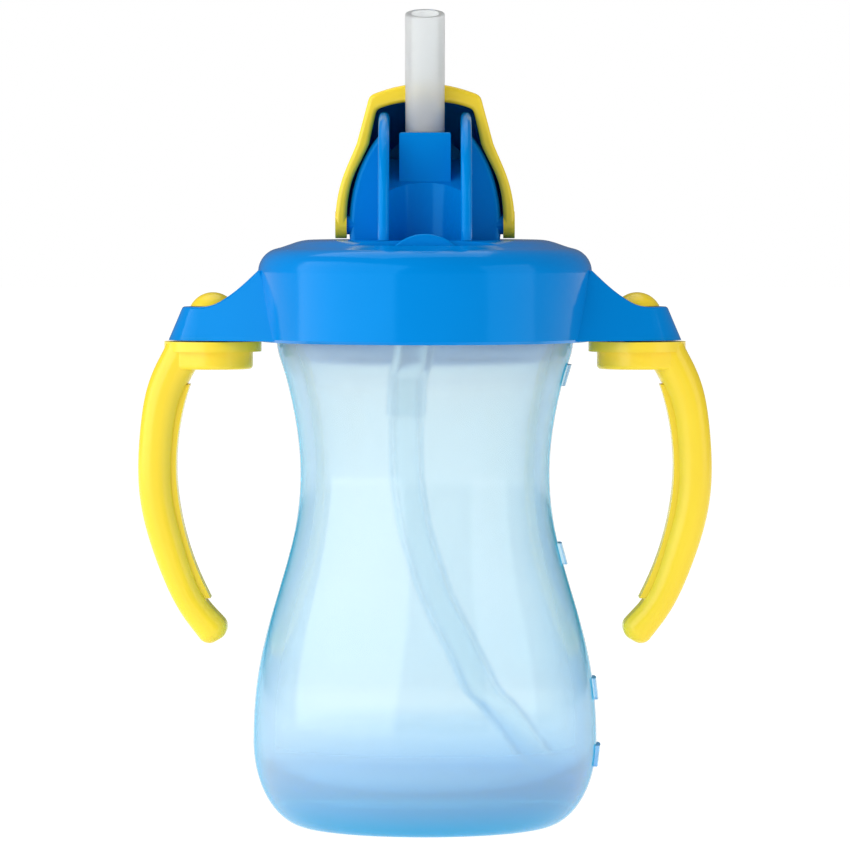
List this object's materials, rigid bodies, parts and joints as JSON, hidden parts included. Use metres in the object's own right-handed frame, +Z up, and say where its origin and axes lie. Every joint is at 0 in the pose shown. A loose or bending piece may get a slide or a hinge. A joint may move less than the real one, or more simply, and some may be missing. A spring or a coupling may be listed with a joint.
{
  "type": "sippy cup",
  "caption": "Straw training cup: waisted translucent bottle, screw cap with side ears, swivelling handles, rotating hood over a soft folding straw.",
  "frame": {"origin": "centre of the bottle's foot, on the surface the cup stands on", "axes": "+Z up along the bottle, front of the cup towards -Y, handles along +X and -X"},
  "size_m": [0.1202, 0.0722, 0.1713],
  "materials": {
    "bottle_plastic": "clear, faintly blue, smooth moulded copolyester",
    "blue_plastic": "glossy moulded polypropylene",
    "yellow_plastic": "satin to glossy moulded polypropylene",
    "straw_silicone": "milky translucent silicone",
    "tube_plastic": "milky translucent polyethylene tube",
    "seal_silicone": "translucent silicone"
  },
  "bodies": {
    "bottle": {"bottle": "bottle_plastic"},
    "seal": {"gasket": "seal_silicone"},
    "cap": {"cap": "blue_plastic", "straw_housing": "blue_plastic", "vent_valve": "seal_silicone", "straw_sleeve": "straw_silicone", "straw_tube": "tube_plastic"},
    "hood": {"hood_frame": "yellow_plastic", "hood_shell": "blue_plastic"},
    "straw": {"straw_tip": "straw_silicone"},
    "left_handle": {"handle_left": "yellow_plastic", "handle_left_liner": "yellow_plastic", "handle_left_stud": "yellow_plastic"},
    "right_handle": {"handle_right": "yellow_plastic", "handle_right_liner": "yellow_plastic", "handle_right_stud": "yellow_plastic"}
  },
  "joints": [
    {"name": "cap_lift", "type": "slide", "parent": "bottle", "child": "seal", "axis": [0, 0, 1], "range_m": [0, 0.00562]},
    {"name": "cap_turn", "type": "hinge", "parent": "seal", "child": "cap", "pos_m": [0, 0, 0.11], "axis": [0, 0, 1], "range_deg": [0, 450]},
    {"name": "hood_turn", "type": "hinge", "parent": "cap", "child": "hood", "pos_m": [0, 0, 0.1263], "axis": [1, 0, 0], "range_deg": [0, 90]},
    {"name": "straw_fold", "type": "hinge", "parent": "cap", "child": "straw", "pos_m": [0, -0.00845, 0.1484], "axis": [1, 0, 0], "range_deg": [0, 135], "deforming": ["straw_tip"]},
    {"name": "left_handle_swivel", "type": "hinge", "parent": "cap", "child": "left_handle", "pos_m": [-0.0445, 0, 0.1], "axis": [0, 0, 1], "range_deg": [-180, 180]},
    {"name": "right_handle_swivel", "type": "hinge", "parent": "cap", "child": "right_handle", "pos_m": [0.0445, 0, 0.1], "axis": [0, 0, 1], "range_deg": [-180, 180]}
  ],
  "couplings": [
    {"joint": "cap_lift", "follows": "cap_turn", "m_per_rad": 0.0007162},
    {"joint": "straw_fold", "follows": "hood_turn", "ratio": 1.5}
  ]
}
